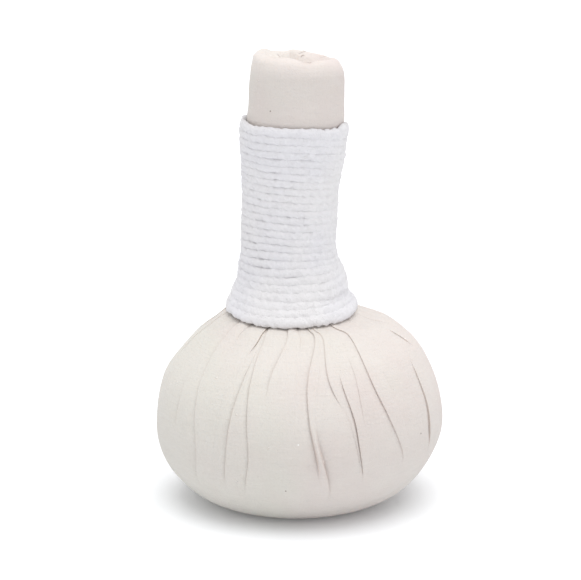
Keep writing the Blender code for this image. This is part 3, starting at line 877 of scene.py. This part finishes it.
class StudioSettings(bpy.types.PropertyGroup):
    lens: FloatProperty(
        name="Lens", description="Focal length on a 36 mm sensor, in mm",
        default=124.05, min=20, max=300,
    )
    distance: FloatProperty(
        name="Camera Distance", description="From the object's axis to the camera, level",
        default=0.65, min=0.2, max=3, unit="LENGTH",
    )
    height: FloatProperty(
        name="Camera Height", description="Height of the camera above the floor",
        default=0.22, min=0.02, max=2, unit="LENGTH",
    )
    tilt: FloatProperty(
        name="Camera Tilt", description="How far the camera looks down",
        default=math.radians(12.9), subtype="ANGLE",
    )
    pan: FloatProperty(
        name="Camera Pan", description="How far the camera looks to the left",
        default=math.radians(0.272), subtype="ANGLE",
    )
    ambient: FloatProperty(
        name="Ambient", description="Strength of the even light from all round",
        default=0.70, min=0, max=5,
    )
    key: FloatProperty(
        name="Key Light", description="Strength of the broad soft light overhead",
        default=1.90, min=0, max=20,
    )
    fill: FloatProperty(
        name="Fill Light", description="Strength of the soft light at the front right",
        default=0.22, min=0, max=20,
    )


class HerbSettings(bpy.types.PropertyGroup):
    chop: FloatProperty(
        name="Chop", description="Size of the chopped herbs", default=0.0032, min=0.001, max=0.01,
        unit="LENGTH", precision=5,
    )
    relief: FloatProperty(
        name="Relief", description="How rough the packed herbs are", default=0.0013, min=0, max=0.002,
        unit="LENGTH", precision=5,
    )


class CompressBallSettings(bpy.types.PropertyGroup):
    bag: PointerProperty(type=BagSettings)
    cord: PointerProperty(type=CordSettings)
    handle: PointerProperty(type=HandleSettings)
    herbs: PointerProperty(type=HerbSettings)
    studio: PointerProperty(type=StudioSettings)


class BALL_OT_bag(bpy.types.Operator):
    """Gathers the calico into the bag, with its pleats and the finish of its cloth"""

    bl_idname = "compress_ball.bag"
    bl_label = "Calico Bag"

    def execute(self, context):
        settings = context.scene.compress_ball.bag
        outline, run = bag_outline()
        pleats = all_pleats(random.Random(settings.seed))
        points, uvs, groove = pleated(
            outline, run, outline[:, 1], pleats, COLUMNS_PER_PLEAT, settings.fullness,
        )
        # The herbs' lumps push the cloth out, and the collar presses it down at the right.
        broad, small = (lumps(points, size, seed) for seed, size in enumerate(LUMP_SIZES, 1))
        amount = broad * settings.lump + small * settings.lump * SMALL_LUMPS
        height = points[..., 2]
        amount = amount * faded(height, 0, LUMP_FOOT) * (1 - faded(height, *LUMP_TOP))
        points = points + unit(points * (1, 1, 0)) * amount[..., None]
        reach = np.hypot(points[..., 0], points[..., 1])
        right = np.maximum(points[..., 0], 0) / reach
        press = right**2 * bell(reach / MM, *PRESS_RING) * faded(height, *PRESS_HEIGHTS)
        points = points - press[..., None] * (0, 0, SHOULDER_PRESS)
        floor_pole = settled(np.zeros(3))
        neck_pole = settled(np.array((0.0, 0.0, SHOULDER_ENDS[-1][1] * MM)))
        mesh = lathe_mesh("bag", settled(points), uvs, floor_pole, neck_pole, groove)
        husks, fibres = (
            [on_cloth(points, spot) for spot in specks] for specks in (HUSK_SPECKS, PALE_SPECKS)
        )
        calico = calico_material("calico", settings.calico, settings.thread, BAG_PAINTED_LIGHT, husks, fibres)
        bag = finish_piece("gathered_bag", mesh, calico, ["pouch_cloth"])
        return {"FINISHED"}


def collar_lean(azimuth, height):
    """How far the collar's turns stand out at the left and in at the right, for azimuths in degrees."""
    across = np.sin(np.radians(azimuth))
    lean = 0.0
    for side, (amount, level, reach) in zip((-1, 1), COLLAR_LEAN):
        lean = lean - side * np.maximum(side * across, 0) * amount * bell(height, level, reach)
    return lean


def cord_mesh(name, line, outward, diameter, settings, spread, seed):
    """A soft twisted cord along a dense line of points, made wider by a spread, and its length:
    plies that spiral, tufts that stand out of it, an uneven thickness, and rounded ends. outward
    points away from what the cord is wound on."""
    count = len(line)
    run = distance_run(line)
    ahead = unit(np.gradient(line, axis=0))
    side = unit(np.cross(ahead, outward))
    up = np.cross(side, ahead)
    turn = 2 * math.pi * np.arange(CORD_SIDES) / CORD_SIDES
    # Both ends round off over CORD_TIP diameters, down to a small flat that the pole closes.
    from_end = np.minimum(np.minimum(run, run[-1] - run) / (CORD_TIP * diameter), 1.0)
    ends = np.sqrt(np.clip(1 - (1 - from_end) ** 2, 0.04, 1))
    # It is thick and thin along its length, its plies spiral, and tufts stand out all over it.
    width = spread * (1 + 0.12 * lumps(line, 7 * MM, seed))
    thick = CORD_SQUEEZE * (1 + 0.06 * lumps(line, 4 * MM, seed + 1))
    spiral = settings.plies * (turn[None, :] - 2 * math.pi * run[:, None] / settings.twist)
    size = diameter / 2 * ends[:, None] * (1 + settings.ply_relief * np.cos(spiral))
    ring = (
        np.cos(turn)[None, :, None] * (up * thick[:, None])[:, None]
        + np.sin(turn)[None, :, None] * (side * width[:, None])[:, None]
    )
    points = line[:, None] + ring * size[..., None]
    tufts = lumps(points, 2.3 * MM, seed + 2) * 0.6 + lumps(points, 1.0 * MM, seed + 3) * 0.4
    points = points + ring * (tufts * settings.tufts * ends[:, None])[..., None]
    around = np.broadcast_to(np.arange(CORD_SIDES + 1) / CORD_SIDES, (count, CORD_SIDES + 1))
    uvs = np.stack((np.broadcast_to(run[:, None], around.shape), around), axis=-1)
    return lathe_mesh(name, points, uvs, line[0], line[-1]), float(run[-1])


class BALL_OT_binding(bpy.types.Operator):
    """Winds the binding cord from the shoulder to the top of the grip"""

    bl_idname = "compress_ball.binding"
    bl_label = "Binding Cord"

    def execute(self, context):
        settings = context.scene.compress_ball.cord
        route = np.array(CORD_ROUTE) * MM
        run = distance_run(route)
        turns = run[-1] / settings.diameter
        count = int(turns * MEAN_GIRTH / CORD_RING_STEP)
        places = np.arange(count) * (run[-1] / (count - 1))
        radius, height = (np.interp(places, run, column) for column in route.T)
        part = np.linspace(0, turns, count)
        azimuth = CORD_END_AZIMUTH + 360 * (turns - part)
        upright = from_polar(azimuth, radius, height)
        # Neighbouring turns ride up and down together, by long and by short stretches.
        nested = lumps(upright, 15 * MM, 11) * 0.45 * MM + lumps(upright, 5 * MM, 12) * 0.24 * MM
        height = height + nested * faded(part, 0.5, 2.0)
        # 1 where the turns lie open, 0 where they are closed.
        gaps = np.abs(np.cos(np.radians(azimuth - CORD_OPEN_AZIMUTH))) ** 1.5
        gaps = gaps * faded(height, COLLAR_HEIGHT, COLLAR_HEIGHT + OPEN_RISE)
        # Some stretches stand proud, most where the turns lie open.
        proud = (lumps(upright, 5 * MM, 13) * 0.16 + lumps(upright, 2.5 * MM, 14) * 0.12) * MM
        # The cord's flat side faces away from its route, whose slope is evened first.
        rise, draw_in = (
            np.convolve(
                np.pad(np.gradient(line), EVENED_RINGS, mode="edge"),
                np.ones(2 * EVENED_RINGS + 1) / (2 * EVENED_RINGS + 1), mode="valid",
            )
            for line in (height, radius)
        )
        outward = unit(from_polar(azimuth, rise, -draw_in))
        radius = radius + CORD_SET_OUT + proud * (0.35 + 0.65 * gaps) + collar_lean(azimuth, height)
        degrees_left = (turns - part) * 360
        height = height - CORD_END_DROP * (1 - faded(degrees_left, 0, CORD_END_SWEEP))
        spread = CORD_SPREAD * (1 + 0.12 * lumps(upright, 7 * MM, 15) + CLOSED_SPREAD * (1 - gaps))
        spread = spread + FLARE_SPREAD * bell(height, *FLARE)
        line = settled(from_polar(azimuth, radius, height))
        mesh, length = cord_mesh("binding", line, outward, settings.diameter, settings, spread, 21)
        cotton = cotton_material("cotton_cord", settings.cotton, CORD_PAINTED_LIGHT)
        cord = finish_piece("binding_winding", mesh, cotton, ["binding_cord"])
        return {"FINISHED"}


class BALL_OT_neck_tie(bpy.types.Operator):
    """Winds the string that closes the neck, under the handle's wrap"""

    bl_idname = "compress_ball.neck_tie"
    bl_label = "Neck Tie"

    def execute(self, context):
        settings = context.scene.compress_ball.cord
        girth = 2 * math.pi * TIE_RADIUS
        count = int(settings.tie_turns * girth / CORD_RING_STEP)
        part = np.linspace(0, settings.tie_turns - TIE_SHORT, count)
        height = TIE_BOTTOM + settings.tie_diameter * (part - 0.5)
        azimuth = TIE_START - 360 * part
        line = settled(from_polar(azimuth, TIE_RADIUS, height))
        outward = from_polar(azimuth, 1.0, azimuth * 0)
        mesh, length = cord_mesh("tie", line, outward, settings.tie_diameter, settings, 1.0, 31)
        cotton = bpy.data.materials["cotton_cord"]
        tie = finish_piece("neck_string", mesh, cotton, ["neck_tie"])
        return {"FINISHED"}


def wrap_outline():
    """The wrap's upright outline, from its hidden skirt up the side, over the rim and into the
    dish, with the distance run at each row and at the top of the rim."""
    route = np.array(CORD_ROUTE)
    heights = np.linspace(WRAP_SKIRT, WRAP_SIDE[0][1] - SKIRT_GAP, SKIRT_POINTS)
    skirt = np.stack((np.interp(heights, route[:, 1], route[:, 0]) - WRAP_INSET, heights), axis=-1)
    side = np.array(WRAP_SIDE)
    turn = np.linspace(RIM_START, math.pi / 2, RIM_POINTS)
    middle = side[-1, 0] - RIM_WIDTH
    rim = np.stack((
        middle + RIM_WIDTH * np.cos(turn),
        side[-1, 1] + (WRAP_TOP - side[-1, 1]) * np.sin(turn),
    ), axis=-1)
    line = np.vstack((skirt, side, rim, DISH_POINTS)) * MM
    outline, run = resampled(line, WRAP_STEP)
    return outline, run, run[np.argmax(outline[:, 1])]


class BALL_OT_wrap(bpy.types.Operator):
    """Folds the last corner of the cloth round the handle and tucks it in at the top"""

    bl_idname = "compress_ball.wrap"
    bl_label = "Handle Wrap"

    def execute(self, context):
        settings = context.scene.compress_ball.handle
        outline, run, top = wrap_outline()
        past_rim = run - top
        folds = [Fold(*row, WRAP_FADES) for row in WRAP_FOLDS]
        points, uvs, groove = pleated(outline, run, past_rim, folds, COLUMNS_PER_FOLD, WRAP_PUFF)
        level = points[..., 2]
        away = unit(points * (1, 1, 0))
        azimuth = np.degrees(np.arctan2(points[..., 0], -points[..., 1]))
        # Soft lumps on the part that shows, the collar's lean, and the corner that stands out.
        inside = faded(past_rim, *TUCKED)[:, None]
        soft = lumps(points, 9 * MM, 41) * 0.35 * MM + lumps(points, 3.5 * MM, 42) * 0.10 * MM
        points = points + away * (soft * faded(level, *SHOWN_HEIGHTS) * (1 - inside))[..., None]
        points = points + away * collar_lean(azimuth, level)[..., None]
        facing = np.cos(np.radians(azimuth - CORNER_AZIMUTH))
        corner = np.maximum(facing, 0) ** 3 * faded(level, *CORNER_HEIGHTS)
        corner = corner * faded(np.hypot(points[..., 0], points[..., 1]), *CORNER_RADII)
        points = points + away * (corner * CORNER_REACH)[..., None]
        # The crumpled top: small lumps, and the swells and hollows with their shadows.
        lift = (lumps(points, 4.5 * MM, 43) * 0.55 + lumps(points, 2.0 * MM, 44) * 0.18) * MM * inside
        for x, y, height, reach in TOP_SWELLS:
            off_middle = np.hypot(points[..., 0] - x * MM, points[..., 1] - y * MM)
            swell = bell(off_middle, 0, reach * MM) * faded(level, *SWELL_HEIGHTS)
            lift = lift + height * MM * swell
            groove = groove + np.maximum(0, -height * 0.5) * swell**2
        points = points + lift[..., None] * (0, 0, 1)
        pole = settled(points[-1].mean(axis=0))
        mesh = lathe_mesh("wrap", settled(points), uvs, None, pole, groove)
        husks = [on_cloth(points, spot) for spot in WRAP_SPECKS]
        bag = context.scene.compress_ball.bag
        calico = calico_material("calico_handle", settings.colour, bag.thread, WRAP_PAINTED_LIGHT, husks)
        wrap = finish_piece("handle_wrap", mesh, calico, ["corner_wrap", "tucked_tip"])
        thickened(context, wrap, settings.cloth, -1.0)
        return {"FINISHED"}


def sheet_mesh(name, path, bottom, top, step, wobble, seed):
    """A mesh of an upright sheet over a path of (x, y) points, with its width and its length, which
    are its UVs' too. wobble is how far it wavers in and out."""
    run = distance_run(path)
    levels = np.linspace(bottom, top, max(2, round((top - bottom) / step)) + 1)
    shape = (len(levels), len(path))
    upright = np.empty((*shape, 3))
    upright[..., :2] = path[None]
    upright[..., 2] = levels[:, None]
    radius = np.maximum(np.hypot(upright[..., 0], upright[..., 1]), 2 * MM)[..., None]
    upright[..., :2] *= 1 + lumps(upright, 14 * MM, seed)[..., None] * wobble / radius
    quads = quad_corners(np.arange(len(levels) * len(path)).reshape(shape)).reshape(-1, 4)
    uvs = np.stack((np.broadcast_to(run, shape), np.broadcast_to(levels[:, None], shape)), axis=-1)
    vertices = settled(upright).reshape(-1, 3)
    mesh = uv_mapped_mesh(name, vertices, quads.tolist(), quad_corners(uvs))
    return mesh, float(run[-1]), float(top - bottom)


def round_path(radius, turn):
    """The (x, y) points at each radius and turn, in radians from +X."""
    return np.stack((radius * np.cos(turn), radius * np.sin(turn)), axis=-1)


def thickened(context, piece, thickness, offset):
    """Gives a sheet its thickness, with a Solidify that is applied."""
    shell = piece.modifiers.new("Cloth", "SOLIDIFY")
    shell.thickness = thickness
    shell.offset = offset
    bpy.ops.object.select_all(action="DESELECT")
    context.view_layer.objects.active = piece
    piece.select_set(True)
    bpy.ops.object.modifier_apply(modifier=shell.name)


class BALL_OT_core(bpy.types.Operator):
    """Rolls one corner of the cloth up as the core of the handle, and folds two more beside it"""

    bl_idname = "compress_ball.core"
    bl_label = "Handle Core"

    def execute(self, context):
        settings = context.scene.compress_ball.handle
        calico = bpy.data.materials["calico_handle"]
        turns = (CORE_RADII[1] - CORE_RADII[0]) / settings.roll_pitch
        part = np.linspace(0, turns, int(turns * ROLL_POINTS))
        path = round_path(CORE_RADII[0] + settings.roll_pitch * part, 2 * math.pi * part)
        mesh, width, length = sheet_mesh("roll", path, CORE_FOOT, CORE_TOP, CORE_STEPS[0], 0.0, 51)
        roll = finish_piece("rolled_corner", mesh, calico, ["corner_core_roll"])
        thickened(context, roll, settings.cloth * TIGHT_SHARE, 0.0)
        # A folded corner runs round the core, turns back on itself and runs back inside.
        inner, outer = FOLD_RADII
        leaf = np.linspace(-FOLD_SWEEP / 2, FOLD_SWEEP / 2, LEAF_POINTS)
        bend = np.linspace(0, math.pi, BEND_POINTS + 2)[1:-1]
        bend_size = (outer - inner) / 2
        bend_radius = inner + bend_size * (1 + np.cos(bend))
        bend_turn = FOLD_SWEEP / 2 + bend_size * np.sin(bend) / bend_radius
        radius = np.concatenate((np.full(LEAF_POINTS, outer), bend_radius, np.full(LEAF_POINTS, inner)))
        turn = np.concatenate((leaf, bend_turn, leaf[::-1]))
        for name, node, middle in (
            ("folded_corner_left", "corner_fold_left", math.pi),
            ("folded_corner_right", "corner_fold_right", 0.0),
        ):
            path = round_path(radius, middle + turn)
            mesh, width, length = sheet_mesh(
                name, path, CORE_FOOT, FOLD_TOP, CORE_STEPS[1], FOLD_WOBBLE, 52,
            )
            fold = finish_piece(name, mesh, calico, [node])
            thickened(context, fold, settings.cloth, 0.0)
        return {"FINISHED"}


class BALL_OT_neck(bpy.types.Operator):
    """Gathers the cloth in the neck, between the bag and the handle"""

    bl_idname = "compress_ball.neck"
    bl_label = "Gathered Neck"

    def execute(self, context):
        outline, run = resampled(np.array(NECK_OUTLINE) * MM, NECK_STEP)
        foot, head = NECK_OUTLINE[0][1], NECK_OUTLINE[-1][1]
        folds = []
        for i in range(NECK_GATHERS):
            azimuth = 360 / NECK_GATHERS * i
            path = ((foot, azimuth), (head, azimuth + GATHER_SLANT))
            folds.append(Fold(path, *GATHER_ENDS, GATHER_DEPTHS, (-1) ** i, GATHER_FADES))
        points, uvs, groove = pleated(
            outline, run, outline[:, 1], folds, COLUMNS_PER_GATHER, GATHER_PUFF,
        )
        poles = [settled(points[row].mean(axis=0)) for row in (0, -1)]
        mesh = lathe_mesh("neck", settled(points), uvs, *poles, groove)
        calico = bpy.data.materials["calico"]
        neck = finish_piece("bunched_neck", mesh, calico, ["neck_gather"])
        return {"FINISHED"}


class BALL_OT_herbs(bpy.types.Operator):
    """Packs the chopped herbs into the bag, and gives the coarse herbs their dried skins"""

    bl_idname = "compress_ball.herbs"
    bl_label = "Herbs"

    def execute(self, context):
        settings = context.scene.compress_ball.herbs
        # Their outline: inside the cloth from the base up to their top, then down into the well.
        cloth, _ = bag_outline()
        along = unit(np.gradient(cloth, axis=0))
        inside = cloth - np.stack((along[:, 1], -along[:, 0]), axis=-1) * HERB_INSET
        well, floor = HERB_WELL
        side = inside[(inside[:, 1] < HERB_TOP) & (cloth[:, 0] > well)]
        opening = ((well, side[-1, 1]), (well, floor), (HERB_POLE, floor))
        outline, run = resampled(np.vstack(((HERB_POLE, HERB_INSET), side, opening)), HERB_STEP)
        columns = np.arange(HERB_COLUMNS + 1) / HERB_COLUMNS
        azimuth = np.broadcast_to(columns[:-1] * 360, (len(outline), HERB_COLUMNS))
        points = from_polar(azimuth, outline[:, :1], np.broadcast_to(outline[:, 1:], azimuth.shape))
        along = unit(np.gradient(outline, axis=0))
        away = from_polar(azimuth, along[:, 1:], np.broadcast_to(-along[:, :1], azimuth.shape))
        chips = lumps(points, settings.chop, 61) * 0.7 + lumps(points, settings.chop * 0.45, 62) * 0.3
        points = points + away * ((chips - 0.5) * settings.relief)[..., None]
        around = np.broadcast_to(columns * HERB_GIRTH, (len(outline), len(columns)))
        uvs = np.stack((around, np.broadcast_to(run[:, None], around.shape)), axis=-1)
        poles = [settled(points[row].mean(axis=0)) for row in (0, -1)]
        mesh = lathe_mesh("herbs", settled(points), uvs, *poles)
        chopped = dried_material(*CHOPPED_HERB)
        herbs = finish_piece("packed_herbs", mesh, chopped, ["herb_filling"])
        for start, *look in COARSE_HERBS:
            skin = dried_material(*look)
            for node in sorted(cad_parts):
                if node.startswith(start):
                    materials = bpy.data.objects[node].data.materials
                    materials.clear()
                    materials.append(skin)
        return {"FINISHED"}


class BALL_OT_studio(bpy.types.Operator):
    """Lays the pale floor, and sets up the soft lights and the camera"""

    bl_idname = "compress_ball.studio"
    bl_label = "Studio"

    def execute(self, context):
        settings = context.scene.compress_ball.studio
        bpy.ops.object.select_all(action="DESELECT")
        bpy.ops.mesh.primitive_plane_add(size=FLOOR_SIZE)
        floor = context.object
        floor.name = "floor"
        floor.data.materials.append(Nodes("white_floor").finish(
            rgba(FLOOR_SHADE), 0.9, Emission_Color=rgba(WHITE), Emission_Strength=0.05,
        ))
        self.sunlight(context, "key", settings.key, KEY_PLACE)
        self.sunlight(context, "fill", settings.fill, FILL_PLACE)
        world = bpy.data.worlds.new("studio")
        world.use_nodes = True
        background = world.node_tree.nodes["Background"].inputs
        background["Color"].default_value = rgba(WHITE)
        background["Strength"].default_value = settings.ambient
        context.scene.world = world
        context.scene.view_settings.view_transform = "Standard"
        camera = bpy.data.cameras.new("camera")
        camera.sensor_width = SENSOR_WIDTH
        camera.lens = settings.lens
        camera.clip_start = 10 * MM
        holder = bpy.data.objects.new("camera", camera)
        holder.location = (0.0, -settings.distance, settings.height)
        holder.rotation_euler = (math.pi / 2 - settings.tilt, 0.0, settings.pan)
        context.scene.collection.objects.link(holder)
        context.scene.camera = holder
        return {"FINISHED"}

    def sunlight(self, context, name, strength, place):
        """A soft light from far off, in the direction of its place."""
        light = bpy.data.lights.new(name, "SUN")
        light.energy = strength
        light.angle = math.radians(LIGHT_SPREAD)
        holder = bpy.data.objects.new(name, light)
        holder.location = place
        holder.rotation_euler = (-Vector(place)).to_track_quat("-Z", "Y").to_euler()
        context.scene.collection.objects.link(holder)


class BALL_PT_panel(bpy.types.Panel):
    """Lists the steps in the order they are made"""

    bl_label = "Compress Ball"
    bl_space_type = "VIEW_3D"
    bl_region_type = "UI"
    bl_category = "Compress Ball"

    def draw(self, context):
        for step in STEPS:
            self.layout.operator(step.bl_idname)


STEPS = (
    BALL_OT_studio, BALL_OT_bag, BALL_OT_binding, BALL_OT_neck_tie, BALL_OT_wrap, BALL_OT_neck,
    BALL_OT_core, BALL_OT_herbs,
)
GROUPS = (BagSettings, CordSettings, HandleSettings, HerbSettings, StudioSettings, CompressBallSettings)
CLASSES = (*GROUPS, *STEPS, BALL_PT_panel)


def register():
    for kind in CLASSES:
        bpy.utils.register_class(kind)
    bpy.types.Scene.compress_ball = PointerProperty(type=CompressBallSettings)


def unregister():
    del bpy.types.Scene.compress_ball
    for kind in reversed(CLASSES):
        bpy.utils.unregister_class(kind)


def main():
    register()
    bpy.ops.compress_ball.studio()
    bpy.ops.compress_ball.bag()
    bpy.ops.compress_ball.binding()
    bpy.ops.compress_ball.neck_tie()
    bpy.ops.compress_ball.wrap()
    bpy.ops.compress_ball.neck()
    bpy.ops.compress_ball.core()
    bpy.ops.compress_ball.herbs()


if __name__ == "__main__":
    main()
